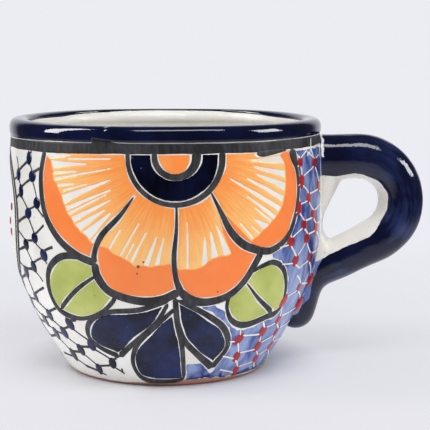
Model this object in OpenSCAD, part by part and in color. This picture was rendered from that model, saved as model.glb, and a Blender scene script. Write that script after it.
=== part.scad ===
// Hand-thrown earthenware mug: a red clay cup with a rolled lip, a pulled loop handle luted on
// with slip, and the glaze coats that are fired over them.
// Sizes are in millimetres. +Z is up, the origin is the middle of the foot on the table,
// and the handle points along +X.

/* [Cup] */
// Height of the clay cup, from the table to the crest of the lip
cup_h = 82; // [76:0.5:96]
// Outside diameter of the clay wall at the shoulder, its widest place
wall_d = 102.4; // [94:0.2:114]
// Height of the shoulder above the table
shoulder_z = 50; // [44:0.5:58]
// Outside diameter of the foot
foot_d = 65; // [56:0.5:74]
// How late the belly turns in to the foot, as the power of its curve
belly_turn = 1.12; // [0.96:0.02:1.4]
// Thickness of the wall at the shoulder
wall_t = 5.2; // [4:0.1:7]
// Thickness of the floor in the middle
floor_t = 7; // [5:0.1:9]
// Fullness of the bowl inside: 2 is an ellipse, and more is squarer
bowl_fullness = 2.6; // [2:0.1:2.8]

/* [Foot] */
// Width of the ring that the cup stands on
foot_ring_w = 7; // [4:0.5:12]
// Depth of the recess turned inside the foot ring
foot_recess = 1.5; // [0.5:0.1:3]
// Height of the bare clay below the glaze
bare_foot_h = 2; // [1:0.1:5]

/* [Lip] */
// How far the clay rim roll stands in from the shoulder
rim_in = 0.6; // [0:0.1:4]
// Thickness of the rim roll
lip_t = 6; // [5:0.1:8]
// How far the roll wraps below its middle, in degrees
lip_wrap = 30; // [10:1:45]
// Width of the dark line under the roll
rim_line_w = 3.5; // [2:0.1:6]
// Where the rim glaze stops inside, in degrees round the roll from its outer side
rim_glaze_turn = 165; // [120:1:180]

/* [Handle] */
// Diameter of the clay handle round the loop
handle_d = 14.4; // [11:0.2:16]
// Diameter of the clay handle at its tail
tail_d = 12.6; // [10:0.2:14]
// Depth of the top of the clay handle below the crest of the lip
arm_drop = 6; // [5:0.1:12]
// Length of the upper arm, from the shoulder's radius to the start of the loop
arm_run = 12.3; // [8:0.1:20]
// Diameter of the thick root under the upper arm
root_d = 11; // [8:0.2:14]
// How far out from the shoulder the root starts, along the underside of the arm
root_run = 7; // [4:0.1:10]
// Lean of the root from upright, in degrees
root_lean = 25; // [18:1:36]
// Radius of the loop, to the middle of the handle
loop_r = 14.7; // [12:0.1:17]
// Height where the lower arm would meet the tail with no bend between them
join_z = 29.5; // [26:0.1:34]
// Radius of the bend from the lower arm into the tail, to the middle of the handle
bend_r = 11; // [9:0.1:13]
// Lean of the tail from upright, in degrees
tail_lean = 16; // [8:1:24]
// Height of the middle of the tail's round tip
tail_z = 17.4; // [14:0.1:19]
// How far the middle of the tip stands off the clay wall
tail_proud = 0.6; // [0:0.1:4]

/* [Coats] */
// Thickness of the glaze coats
glaze_t = 0.4; // [0.2:0.05:0.8]
// Thickness of the slip between the handle and the wall
slip_t = 0.8; // [0.4:0.1:1.4]
// Half of the angle round the handle that is left white towards the finger hole, in degrees
white_angle = 48; // [20:1:75]

/* [Hidden] */
$fn = 96;

clay_color = "#b4694a";
slip_color = "#c98a6a";
white_color = "#e8e6de";
cobalt_color = "#0d1538";
line_color = "#2b2a2c";

// Steps along each stretch of the turned contour
bare_steps = 3;
wall_steps = 36;
line_steps = 3;
roll_steps = 20;
liner_roll_steps = 6;
liner_wall_steps = 10;
bowl_steps = 24;

wall_r = wall_d / 2;
foot_r = foot_d / 2;
bowl_r = wall_r - wall_t;
bowl_h = shoulder_z - floor_t;
handle_r = handle_d / 2;
tail_r = tail_d / 2;
root_r = root_d / 2;
lip_r = lip_t / 2;
lip_middle = [wall_r - rim_in - lip_r, cup_h - lip_r];
arm_z = cup_h - arm_drop - handle_r;

// A direction in the plane, in degrees from its first axis
function heading(a) = [cos(a), sin(a)];
function roll_point(a) = lip_middle + lip_r * heading(a);

neck = roll_point(-lip_wrap);
throat = roll_point(180 + lip_wrap);
line_z = neck[1] - rim_line_w;

// Radius of the outside of the clay wall at height z, from the foot to the neck under the roll
function belly_radius(z) =
    let (t = 1 - z / shoulder_z) foot_r + (wall_r - foot_r) * pow(1 - t * t, belly_turn);
function upper_radius(z) =
    let (t = (z - shoulder_z) / (neck[1] - shoulder_z)) wall_r + (neck[0] - wall_r) * t * t;
function wall_radius(z) = z < shoulder_z ? belly_radius(z) : upper_radius(z);

// Radius of the inside of the clay wall at height z, from the shoulder to the throat of the roll
function throat_radius(z) =
    let (t = (z - shoulder_z) / (throat[1] - shoulder_z)) bowl_r + (throat[0] - bowl_r) * t * t;

// A point on the bowl below the shoulder, at a degrees down from the shoulder's level
function bowl_point(a) =
    let (p = 2 / bowl_fullness) [bowl_r * pow(cos(a), p), shoulder_z - bowl_h * pow(sin(a), p)];

// The turned contour of the clay, as one list of [radius, height]: up the outside, over the roll
// and down the inside to the middle of the floor. Each stretch starts where the last one ends.
function outside(z0, z1, n) = [for (i = [1:n]) let (z = z0 + (z1 - z0) * i / n) [wall_radius(z), z]];
function inside(n) =
    [for (i = [1:n]) let (z = throat[1] + (shoulder_z - throat[1]) * i / n) [throat_radius(z), z]];
function round_roll(a0, a1, n) = [for (i = [1:n]) roll_point(a0 + (a1 - a0) * i / n)];

contour = concat(
    [[foot_r, 0]],
    outside(0, bare_foot_h, bare_steps),
    outside(bare_foot_h, line_z, wall_steps),
    outside(line_z, neck[1], line_steps),
    round_roll(-lip_wrap, rim_glaze_turn, roll_steps),
    round_roll(rim_glaze_turn, 180 + lip_wrap, liner_roll_steps),
    inside(liner_wall_steps),
    [for (i = [1:bowl_steps]) bowl_point(90 * i / bowl_steps)]);

// Where each coat ends on the contour
wall_start = bare_steps;
line_start = wall_start + wall_steps;
roll_start = line_start + line_steps;
liner_start = roll_start + roll_steps;
contour_end = len(contour) - 1;

// The contour's point i moved out of the clay by t, square to the surface
function clay_normal(i) =
    i == contour_end ? [0, 1] :
    let (d = contour[i + 1] - contour[max(i - 1, 0)]) [d[1], -d[0]] / norm(d);
function proud(i, t) = contour[i] + t * clay_normal(i);

// A coat of thickness t over the contour from point a to point b
module coat(a, b, t)
    rotate_extrude()
        polygon(concat([for (i = [a:b]) contour[i]], [for (i = [b:-1:a]) proud(i, t)]));

// The space inside the outside wall, with no bowl, grown by t
module wall_space(t)
    rotate_extrude()
        polygon(concat([[0, 0]], [for (i = [0:roll_start]) proud(i, t)], [[0, neck[1]]]));

// The handle's middle line lies in the XZ plane, written here as [x, z]. It runs out along the
// upper arm, round the loop, back along the lower arm, through the bend and down the tail.
loop_middle = [wall_r + arm_run, arm_z - loop_r];
arm_start = [bowl_r, arm_z];
arm_length = loop_middle[0] - arm_start[0];
tip = [wall_radius(tail_z) + tail_proud, tail_z];

// The lower arm and the tail meet at a corner, which the bend rounds. The loop turns as far as it
// takes for the lower arm to leave it straight towards that corner.
corner = tip + (join_z - tail_z) * [tan(tail_lean), 1];
span = loop_middle - corner;
lower_reach = sqrt(span * span - loop_r * loop_r);
loop_turn = 180 - atan2(span[1], span[0]) + asin(loop_r / norm(span));
lower_heading = -loop_turn;
tail_heading = -90 - tail_lean;
bend_turn = tail_heading - lower_heading;
bend_reach = bend_r * tan(bend_turn / 2);
lower_run = lower_reach - bend_reach;
tail_run = norm(tip - corner) - bend_reach;

// The root runs out on the wall, and the two slips part a little below that place
root_reach = root_run / sin(root_lean);
slip_gap = 3;
slip_part = arm_z - handle_r - root_run / tan(root_lean) - slip_gap;

// The handle is rolled in three limbs. They stop short of each other where the loop and the bend
// end, and a ball that is a little fuller than the bar joins each pair.
limb_gap = 0.3;
ball_proud = 0.05;
function shy(bend) = asin(limb_gap / bend);

// Sets [x, z] drawings upright in the XZ plane
module upright() rotate([90, 0, 0]) children();

// A straight stretch along the first axis, from radius r1 to radius r2
module straight(length, r1, r2) rotate([0, 90, 0]) cylinder(h = length, r1 = r1, r2 = r2);

// A bent stretch of radius r round the origin, from angle a through turn degrees
module bent(bend, a, turn, r)
    rotate_extrude(angle = turn, start = a) translate([bend, 0]) circle(r);

// The ball that joins two limbs of radius r
module ball(r) rotate([0, 90, 0]) sphere(r + ball_proud);

// The rounded end of a stretch of radius r
module round_end(r)
    rotate([0, 90, 0]) rotate_extrude() intersection() {
        circle(r);
        square(r);
    }

// The whole handle as a round bar, grown by t, from inside the wall to the tip of the tail
module bar(t)
    upright() translate(loop_middle) {
        translate([-arm_length, loop_r]) straight(arm_length, handle_r + t, handle_r + t);
        root(t);
        bent(loop_r, 90, shy(loop_r) - loop_turn, handle_r + t);
        rotate([0, 0, lower_heading]) lower_limb(t);
    }

// The thick root of the upper arm, which leaves its underside and is smeared down the wall
module root(t)
    translate([root_run - arm_run, loop_r - handle_r]) rotate([0, 0, -90 - root_lean])
        translate([-root_r / 2, -root_r]) straight(root_reach + root_d, root_r + t, root_r + t);

// The lower arm and the bend, drawn along the first axis from the end of the loop
module lower_limb(t) {
    translate([0, loop_r]) ball(handle_r + t);
    translate([limb_gap, loop_r]) straight(lower_run - limb_gap, handle_r + t, tail_r + t);
    translate([lower_run, loop_r + bend_r]) {
        bent(bend_r, -90, bend_turn - shy(bend_r), tail_r + t);
        rotate([0, 0, bend_turn]) tail_limb(t);
    }
}

// The tail, drawn along the first axis from the end of the bend
module tail_limb(t) {
    translate([0, -bend_r]) ball(tail_r + t);
    translate([limb_gap, -bend_r]) straight(tail_run - limb_gap, tail_r + t, tail_r + t);
    translate([tail_run, -bend_r]) round_end(tail_r + t);
}

// The room inside the loop, widened until it takes in the side of the handle that is left white
white_reach = (handle_r + glaze_t) * cos(white_angle);
module finger_room() {
    rim = loop_r - white_reach;
    low_corner = loop_middle + rim * heading(lower_heading + 90);
    upright() translate([0, 0, -handle_d]) linear_extrude(2 * handle_d)
        polygon(concat([[arm_start[0], arm_z - white_reach]],
            [for (i = [0:16]) loop_middle + rim * heading(90 - loop_turn * i / 16)],
            [low_corner + lower_reach * heading(lower_heading)]));
}

// The coat that covers the whole handle outside the wall
module handle_coat()
    difference() {
        bar(glaze_t);
        bar(0);
        wall_space(0);
    }

// A slab that holds what lies above or below the place where the slips part
module upper_half() translate([0, -wall_r, slip_part]) cube([2 * wall_r, wall_d, cup_h]);
module lower_half() translate([0, -wall_r, slip_part - cup_h]) cube([2 * wall_r, wall_d, cup_h]);

// The slip that fills the joints between the handle's ends and the wall
module slip()
    difference() {
        intersection() {
            bar(0);
            wall_space(slip_t);
        }
        wall_space(0);
    }

module cup()
    color(clay_color) rotate_extrude()
        polygon(concat([[0, foot_recess], [foot_r - foot_ring_w, foot_recess],
                        [foot_r - foot_ring_w, 0]], contour));

module handle()
    color(clay_color) difference() {
        bar(0);
        wall_space(slip_t);
    }

module upper_slip()
    color(slip_color) intersection() {
        slip();
        upper_half();
    }

module lower_slip()
    color(slip_color) intersection() {
        slip();
        lower_half();
    }

module wall_glaze()
    color(white_color) difference() {
        coat(wall_start, line_start, glaze_t);
        bar(glaze_t);
    }

module liner_glaze() color(white_color) coat(liner_start, contour_end, glaze_t);

module rim_line()
    color(line_color) difference() {
        coat(line_start, roll_start, glaze_t);
        bar(glaze_t);
    }

module rim_glaze() color(cobalt_color) coat(roll_start, liner_start, glaze_t);

module handle_blue_glaze()
    color(cobalt_color) difference() {
        handle_coat();
        finger_room();
    }

module handle_white_glaze()
    color(white_color) intersection() {
        handle_coat();
        finger_room();
    }

cup();
handle();
upper_slip();
lower_slip();
wall_glaze();
liner_glaze();
rim_line();
rim_glaze();
handle_blue_glaze();
handle_white_glaze();
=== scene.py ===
import math
from collections import deque
from functools import partialmethod

import bpy
import numpy as np
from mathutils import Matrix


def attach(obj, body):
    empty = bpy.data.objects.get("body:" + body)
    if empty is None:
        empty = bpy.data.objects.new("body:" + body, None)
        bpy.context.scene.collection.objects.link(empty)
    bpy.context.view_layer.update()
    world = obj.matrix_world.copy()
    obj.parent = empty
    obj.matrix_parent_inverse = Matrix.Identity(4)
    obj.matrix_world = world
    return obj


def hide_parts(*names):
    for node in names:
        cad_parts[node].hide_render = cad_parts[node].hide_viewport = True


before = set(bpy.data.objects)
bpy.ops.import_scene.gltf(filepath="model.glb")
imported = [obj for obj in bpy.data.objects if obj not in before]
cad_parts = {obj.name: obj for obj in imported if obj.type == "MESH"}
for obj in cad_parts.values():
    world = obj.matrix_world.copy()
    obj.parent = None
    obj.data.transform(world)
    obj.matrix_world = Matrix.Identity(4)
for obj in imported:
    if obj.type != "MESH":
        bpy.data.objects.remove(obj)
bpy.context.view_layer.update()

# Cup: red earthenware thrown on the wheel. The lip is rolled over, the foot is turned to a ring when
# the clay is leather hard, and only the edge and the underside of the foot stay bare of glaze.
mm = 0.001
wall_r = 51.2 * mm
shoulder_z = 50 * mm
foot_r = 32.5 * mm
belly_turn = 1.12
neck_z = 77.5 * mm
neck_r = 50.198 * mm
roll_r = 3 * mm
roll_mid = 47.6 * mm
roll_z = 79 * mm
bowl_r = 46 * mm
throat_r = 45 * mm
floor_z = 7 * mm
bowl_fullness = 2.6
foot_ring_r = 25.5 * mm
foot_recess = 1.5 * mm
clay_shy = 0.1 * mm
rim_shy = 0.4 * mm
seam_gap = 0.002 * mm
clay_red = (0.38, 0.19, 0.135, 1)
clay_pale = (0.6, 0.33, 0.245, 1)


class Measure:
    """A value inside a node tree, so that the tree's sums are written as plain sums."""

    def __init__(self, tree, socket):
        self.tree = tree
        self.socket = socket

    def work(self, operation, *others):
        node = self.tree.nodes.new("ShaderNodeMath")
        node.operation = operation
        for socket, value in zip(node.inputs, (self, *others)):
            join(self.tree, value, socket)
        return Measure(self.tree, node.outputs[0])

    __add__ = __radd__ = partialmethod(work, "ADD")
    __mul__ = __rmul__ = partialmethod(work, "MULTIPLY")
    __sub__ = partialmethod(work, "SUBTRACT")
    __truediv__ = partialmethod(work, "DIVIDE")
    __pow__ = partialmethod(work, "POWER")
    cos = partialmethod(work, "COSINE")
    sin = partialmethod(work, "SINE")
    least = partialmethod(work, "MINIMUM")
    most = partialmethod(work, "MAXIMUM")

    def __rsub__(self, other):
        return (self * -1) + other

    def __rtruediv__(self, other):
        return (self ** -1) * other

    def clipped(self):
        return self.most(0).least(1)


class Node:
    """A node of a tree, whose outputs are read as measures."""

    def __init__(self, tree, node):
        self.tree = tree
        self.node = node

    def __getitem__(self, output):
        return Measure(self.tree, self.node.outputs[output])


def join(tree, value, socket):
    if isinstance(value, Measure):
        tree.links.new(value.socket, socket)
    elif isinstance(value, bpy.types.NodeSocket):
        tree.links.new(value, socket)
    else:
        socket.default_value = value


def place(tree, kind, inputs=None, **settings):
    node = tree.nodes.new(kind)
    for name, value in settings.items():
        setattr(node, name, value)
    for name, value in (inputs or {}).items():
        join(tree, value, node.inputs[name])
    return Node(tree, node)


def start_tree(name, kind, takes, gives):
    """A new node tree with these inputs and outputs. Returns it, its inputs as measures and its end."""
    tree = bpy.data.node_groups.new(name, kind)
    for way, sockets in (("INPUT", takes), ("OUTPUT", gives)):
        for socket, sort in sockets.items():
            tree.interface.new_socket(socket, in_out=way, socket_type="NodeSocket" + sort)
    given = tree.nodes.new("NodeGroupInput")
    end = tree.nodes.new("NodeGroupOutput")
    return tree, {socket: Measure(tree, given.outputs[socket]) for socket in takes}, end


def start_shape(name, takes):
    return start_tree(name, "GeometryNodeTree", takes, {"Geometry": "Geometry"})


def use_tree(tree, group, kind, **inputs):
    return place(tree, kind, inputs, node_tree=group)


def vector(tree, x, y, z):
    return place(tree, "ShaderNodeCombineXYZ", {"X": x, "Y": y, "Z": z})[0]


def parts_of(tree, socket):
    node = place(tree, "ShaderNodeSeparateXYZ", {0: socket})
    return [node[axis] for axis in "XYZ"]


def noise(tree, spot, scale, detail, **more):
    inputs = {"Vector": spot, "Scale": scale, "Detail": detail, **more}
    return place(tree, "ShaderNodeTexNoise", inputs)["Fac"]


def thrown_by_hand():
    """The cup is a little out of round and its rim a little uneven, always inwards and downwards."""
    tree, given, end = start_tree("thrown by hand", "GeometryNodeTree",
                                  {"Position": "Vector"}, {"Position": "Vector"})
    x, y, z = parts_of(tree, given["Position"])
    turn = y.work("ARCTAN2", x)
    up = z / (82 * mm)
    oval = 0.003 * (1 - (2 * turn).cos())
    sway = 0.001 * (1 - (3 * turn).cos())
    inward = up.most(0) * (oval + sway)
    sag = 0.12 * mm * (1 + (turn - 0.5).cos()) + 0.07 * mm * (1 + (3 * turn + 0.6).cos())
    dip = 0.06 * mm * (1 + (5 * turn - 1.2).cos())
    down = up * up * (sag + dip)
    join(tree, vector(tree, x * (1 - inward), y * (1 - inward), z - down), end.inputs["Position"])
    return tree


thrown = thrown_by_hand()


def finish_tree(tree, end, geometry, material):
    """Ends a tree the way each one ends: real mesh, smooth faces, one material."""
    real = place(tree, "GeometryNodeRealizeInstances", {"Geometry": geometry})
    smooth = place(tree, "GeometryNodeSetShadeSmooth", {"Geometry": real[0]})
    dressed = place(tree, "GeometryNodeSetMaterial", {"Geometry": smooth[0], "Material": material})
    join(tree, dressed[0], end.inputs["Geometry"])
    tree.is_modifier = True
    return tree


def close_round(tree, end, grid, position, material):
    """Ends a tree whose grid goes round the cup: its points go to their places and its seam is joined."""
    shaped = place(tree, "GeometryNodeSetPosition", {"Geometry": grid, "Position": position})
    closed = place(tree, "GeometryNodeMergeByDistance", {"Geometry": shaped[0], "Distance": seam_gap})
    return finish_tree(tree, end, closed[0], material)


def turned_on_the_wheel():
    """Turns a profile, drawn as a line of points in the XZ plane, with a spiral of finger ridges."""
    takes = {"Geometry": "Geometry", "Columns": "Int", "Ridge depth": "Float", "Ridge pitch": "Float",
             "Material": "Material"}
    tree, given, end = start_shape("turned on the wheel", takes)
    rows = place(tree, "GeometryNodeAttributeDomainSize", {"Geometry": given["Geometry"]})["Point Count"]
    grid = place(tree, "GeometryNodeMeshGrid", {"Vertices X": given["Columns"] + 1, "Vertices Y": rows})
    index = place(tree, "GeometryNodeInputIndex")[0]
    column = ((index + 0.5) / rows).work("FLOOR")
    row = index - column * rows
    spot = place(tree, "GeometryNodeInputPosition")[0]
    sought = {"Geometry": given["Geometry"], "Value": spot, "Index": row + 0.25}
    taken = place(tree, "GeometryNodeSampleIndex", sought, data_type="FLOAT_VECTOR")
    out, _, height = parts_of(tree, taken[0])
    turn = column / given["Columns"] * (2 * math.pi)
    ridge = given["Ridge depth"] * (height / given["Ridge pitch"] * (2 * math.pi) + turn).sin()
    far = out * (1 + ridge / wall_r)
    ideal = vector(tree, far * turn.sin(), far * turn.cos() * -1, height)
    real = use_tree(tree, thrown, "GeometryNodeGroup", Position=ideal)
    return close_round(tree, end, grid[0], real[0], given["Material"])


turned = turned_on_the_wheel()


def new_piece(name, points, edges=(), faces=()):
    mesh = bpy.data.meshes.new(name)
    mesh.from_pydata([tuple(map(float, point)) for point in points], edges, faces)
    piece = bpy.data.objects.new(name, mesh)
    bpy.context.scene.collection.objects.link(piece)
    return piece


def shape(piece, tree, sizes):
    step = piece.modifiers.new(tree.name, "NODES")
    step.node_group = tree
    for item in tree.interface.items_tree:
        if item.in_out == "INPUT" and item.name in sizes:
            step[item.identifier] = sizes[item.name]


def make_plain(piece):
    """Turns a piece with its modifiers into a plain mesh."""
    graph = bpy.context.evaluated_depsgraph_get()
    mesh = bpy.data.meshes.new_from_object(piece.evaluated_get(graph), preserve_all_data_layers=True,
                                           depsgraph=graph)
    sketch = piece.data
    piece.modifiers.clear()
    piece.data = mesh
    bpy.data.meshes.remove(sketch)


def outer_r(height):
    """Radius of the clay wall's outer face."""
    low = 1 - min(height, shoulder_z) / shoulder_z
    belly = foot_r + (wall_r - foot_r) * (1 - low * low) ** belly_turn
    up = max(height - shoulder_z, 0) / (neck_z - shoulder_z)
    return belly + (neck_r - wall_r) * up * up


def inner_r(height):
    """Radius of the clay wall's inner face."""
    deep = max(shoulder_z - height, 0) / (shoulder_z - floor_z)
    bowl = bowl_r * max(1 - deep ** bowl_fullness, 0) ** (1 / bowl_fullness)
    up = max(height - shoulder_z, 0) / (neck_z - shoulder_z)
    return bowl + (throat_r - bowl_r) * up * up


def lip(angle, proud):
    """A point on the rolled lip, turned from the outer side over the top, this far above the clay."""
    angle = math.radians(angle)
    return roll_mid + (roll_r + proud) * math.cos(angle), roll_z + (roll_r + proud) * math.sin(angle)


def inside_line(proud):
    """The inside of the cup from the throat to the middle of the floor, this far above the clay."""
    line = []
    for step in range(90):
        height = neck_z - (neck_z - floor_z) * math.sin(step / 89 * math.pi / 2)
        line.append((max(inner_r(height) - proud, 0), height + proud * (1 - height / neck_z)))
    last = line[-1][0]
    for share in (0.9, 0.7, 0.45, 0.2, 0):
        line.append((last * share, floor_z + proud))
    return line


def draw_profile(name, line):
    points = [(out, 0, height) for out, height in line]
    return new_piece(name, points, [(i, i + 1) for i in range(len(points) - 1)])


def fired_grain():
    """Grain of fired clay: a broad fire cloud, fine grog and small pits."""
    takes = {"Grog scale": "Float"}
    gives = {"Cloud": "Float", "Grog": "Float", "Height": "Float"}
    tree, given, end = start_tree("fired grain", "ShaderNodeTree", takes, gives)
    spot = place(tree, "ShaderNodeTexCoord")["Object"]
    grog = noise(tree, spot, given["Grog scale"], 6)
    pits = place(tree, "ShaderNodeTexVoronoi", {"Vector": spot, "Scale": 900})
    pit = (pits["Distance"] * 3).least(1)
    join(tree, noise(tree, spot, 70, 4), end.inputs["Cloud"])
    join(tree, grog, end.inputs["Grog"])
    join(tree, grog * 0.6 + pit * 0.4, end.inputs["Height"])
    return tree


grain = fired_grain()


def blend_colour(tree, share, first, second):
    node = place(tree, "ShaderNodeMix", {0: share, 6: first, 7: second}, data_type="RGBA")
    return node[2]


def new_material(name, roughness, gloss=0.3):
    """A material with a Principled shader of this roughness. Returns it, its tree and the shader."""
    material = bpy.data.materials.new(name)
    material.use_nodes = True
    tree = material.node_tree
    shader = tree.nodes["Principled BSDF"]
    shader.inputs["Roughness"].default_value = roughness
    shader.inputs["Specular IOR Level"].default_value = gloss
    return material, tree, shader


def raise_skin(tree, shader, height, depth):
    bump = place(tree, "ShaderNodeBump", {"Height": height, "Strength": 1, "Distance": depth})
    join(tree, bump[0], shader.inputs["Normal"])


def fired_clay(name, dark, pale, roughness):
    material, tree, shader = new_material(name, roughness)
    skin = use_tree(tree, grain, "ShaderNodeGroup", **{"Grog scale": 1400})
    tone = skin["Cloud"] * 0.8 + skin["Grog"] * 0.7 - 0.25
    join(tree, blend_colour(tree, tone.clipped(), dark, pale), shader.inputs["Base Color"])
    raise_skin(tree, shader, skin["Height"], 0.12 * mm)
    return material


def cup_profile():
    low = [(0, foot_recess), (foot_ring_r - 1 * mm, foot_recess), (foot_ring_r, foot_recess - 0.3 * mm),
           (foot_ring_r + 0.6 * mm, 0), (foot_r - 0.9 * mm, 0), (foot_r - 0.3 * mm, 0.25 * mm)]
    wall = []
    for step in range(1, 100):
        height = 0.6 * mm + (neck_z - 0.6 * mm) * step / 100
        wall.append((outer_r(height) - clay_shy, height))
    roll = [lip(angle, -rim_shy) for angle in range(-30, 211, 8)]
    return low + wall + roll + inside_line(-clay_shy)


red_clay = fired_clay("bare red clay", clay_red, clay_pale, 0.88)
cup = draw_profile("thrown_cup", cup_profile())
shape(cup, turned, {"Columns": 180, "Ridge depth": 0.02 * mm, "Ridge pitch": 5 * mm, "Material": red_clay})
make_plain(cup)
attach(cup, "root")
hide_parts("cup")

# Slips: two pats of liquid clay that lute the arm and the tail of the handle to the wall before firing.
# They lie inside the joints, out of sight.
slip_thick = 1 * mm


def mark(piece, name, values):
    piece.data.attributes.new(name, "FLOAT", "POINT").data.foreach_set("value", values)


def new_line_piece(name, lines, height=None):
    """A piece made of lines of rows (x, height, thickness), drawn in XZ, or flat in XY for the paper."""
    points, edges, thick = [], [], []
    for line in lines:
        first = len(points)
        for x, up, width in line:
            points.append((x, 0, up) if height is None else (x, up, height))
            thick.append(width)
        edges += [(i, i + 1) for i in range(first, len(points) - 1)]
    piece = new_piece(name, points, edges)
    mark(piece, "thickness", thick)
    return piece


def round_rope(tree, geometry, sides):
    """Nodes that make a round rope along lines, as thick as their points say."""
    width = place(tree, "GeometryNodeInputNamedAttribute", {"Name": "thickness"})[0]
    curve = place(tree, "GeometryNodeMeshToCurve", {"Mesh": geometry})
    thick = place(tree, "GeometryNodeSetCurveRadius", {"Curve": curve[0], "Radius": width})
    ring = place(tree, "GeometryNodeCurvePrimitiveCircle", {"Resolution": sides, "Radius": 1})
    rope = place(tree, "GeometryNodeCurveToMesh", {"Curve": thick[0], "Profile Curve": ring[0],
                                                  "Fill Caps": True})
    if "Scale" in rope.node.inputs:
        join(tree, width, rope.node.inputs["Scale"])
    return rope[0]


def pulled_rope():
    takes = {"Geometry": "Geometry", "Sides": "Int", "Material": "Material"}
    tree, given, end = start_shape("pulled rope", takes)
    return finish_tree(tree, end, round_rope(tree, given["Geometry"], given["Sides"]), given["Material"])


rope = pulled_rope()
joint_slip = fired_clay("luting slip", (0.50, 0.21, 0.12, 1), (0.66, 0.33, 0.2, 1), 0.9)
for name, node, heights in (("slip_under_the_arm", "upper_slip", (46, 52, 58, 64, 70, 73)),
                            ("slip_under_the_tail", "lower_slip", (15, 19, 23, 27, 31))):
    pat = new_line_piece(name, [[(outer_r(up * mm), up * mm, slip_thick) for up in heights]])
    shape(pat, rope, {"Sides": 16, "Material": joint_slip})
    make_plain(pat)
    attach(pat, "root")
    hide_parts(node)

# Handle: a rope of clay pulled by hand, bent to a loop and luted on, thick at its root and with the
# tail pressed on the belly. The cobalt glaze covers its outer side, and white glaze faces the hole.
arm_z = 68.8 * mm
loop_x = 63.5 * mm
loop_r = 14.7 * mm
bar_r = 7.35 * mm
tail_r = 6.45 * mm
tail_tip = (43.2 * mm, 17.4 * mm)
lower_corner = (46.7 * mm, 29.5 * mm)
lower_bend_r = 11 * mm
glaze_shy = 0.5 * mm
voxel = 0.6 * mm
navy = (0.0015, 0.0026, 0.016, 1)
cobalt = (0.007, 0.012, 0.06, 1)
rim_cobalt = (0.0035, 0.007, 0.04, 1)
# pale blue of the brush streaks, also used as painted reflection on the loop and the lower arm
dry_cobalt_and_sheen = (0.035, 0.052, 0.17, 1)
navy_gloss = 0.5
tin_white = (0.80, 0.79, 0.745, 1)
thin_white = (0.72, 0.69, 0.63, 1)


def bar_line():
    """The middle line of the rope as rows of x, z and thickness, from the wall round to the tail's tip."""
    line = [(x * mm, arm_z, bar_r) for x in np.linspace(47.5, 63.5, 10)]
    loop_z = arm_z - loop_r
    lower_heading = math.radians(-153.9)
    for turn in np.linspace(0, math.radians(153.9), 30)[1:]:
        line.append((loop_x + loop_r * math.sin(turn), loop_z + loop_r * math.cos(turn), bar_r))
    start = np.array(line[-1][:2])
    corner = np.array(lower_corner)
    tip = np.array(tail_tip)
    tail_way = (tip - corner) / np.linalg.norm(tip - corner)
    lower_way = np.array([math.cos(lower_heading), math.sin(lower_heading)])
    bend = math.acos(float(np.clip(lower_way @ tail_way, -1, 1)))
    reach = lower_bend_r * math.tan(bend / 2)
    bend_start = corner - lower_way * reach
    bend_end = corner + tail_way * reach
    for share in np.linspace(0, 1, 16)[1:]:
        x, z = start + (bend_start - start) * share
        line.append((x, z, bar_r + (tail_r - bar_r) * share))
    for share in np.linspace(0, 1, 10)[1:]:
        sideways = (1 - share) ** 2 * bend_start + 2 * share * (1 - share) * corner + share ** 2 * bend_end
        line.append((*sideways, tail_r))
    for share in np.linspace(0, 1, 8)[1:]:
        line.append((*(bend_end + (tip - bend_end) * share), tail_r))
    for lean in np.linspace(0, math.pi / 2, 8)[1:]:
        line.append((*(tip + tail_way * tail_r * math.sin(lean)), max(tail_r * math.cos(lean), 0.2 * mm)))
    return line


def root_line():
    """The thick root under the arm, smeared down the wall to the lower arm, as rows of x, z, thickness."""
    stops = [(54.6, 66.6, 5.2), (51, 59, 5.4), (48, 52, 5.2), (47.6, 46.5, 4.4), (49, 41.5, 4), (51, 36, 5)]
    return [(x * mm, z * mm, thick * mm) for x, z, thick in smooth_line(stops, 6)]


def smooth_line(stops, steps):
    """Rows of numbers on a smooth curve through the rows given."""
    stops = np.array(stops, float)
    row = np.vstack([2 * stops[0] - stops[1], stops, 2 * stops[-1] - stops[-2]])
    curve = []
    for before, start, end, after in zip(row, row[1:], row[2:], row[3:]):
        for share in np.arange(steps) / steps:
            bend = 2 * before - 5 * start + 4 * end - after
            twist = 3 * start - before - 3 * end + after
            curve.append(start + 0.5 * share * (end - before + share * (bend + share * twist)))
    return np.array([*curve, stops[-1]])


def wander(places, length, seed):
    """Smooth uneven values between about -1 and 1, with swells about this long."""
    draw = np.random.default_rng(seed)
    total = np.zeros(len(places))
    for _ in range(7):
        way = draw.normal(size=places.shape[1])
        way *= 2 * math.pi / (length * draw.uniform(0.6, 1.6) * np.linalg.norm(way))
        total += np.sin(places @ way + draw.uniform(0, 2 * math.pi))
    return total / 3


def trim(rows, faces, field):
    """Keeps the part of a mesh where the field is above zero. Rows hold a point and its marks."""
    field = field.tolist()
    number, mixes, kept = {}, [], []

    def keep(first, second):
        key = (first, second) if first < second else (second, first)
        if key not in number:
            number[key] = len(mixes)
            share = 0 if first == second else field[first] / (field[first] - field[second])
            mixes.append((first, second, share))
        return number[key]

    for face in faces:
        loop = []
        for first, second in zip(face, (*face[1:], face[0])):
            if field[first] > 0:
                loop.append(keep(first, first))
            if (field[first] > 0) != (field[second] > 0):
                loop.append(keep(first, second))
        if len(loop) > 2:
            kept.append(loop)
    first, second, share = (np.array(column) for column in zip(*mixes))
    share = share[:, None]
    return rows[first] * (1 - share) + rows[second] * share, kept


def from_segment(places, start, end):
    """How far along a segment each place lies, from 0 to 1, and how it lies off the segment there."""
    way = end - start
    share = np.clip(((places - start) @ way) / max(way @ way, 1e-12), 0, 1)
    return share, places - start - share[:, None] * way


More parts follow.
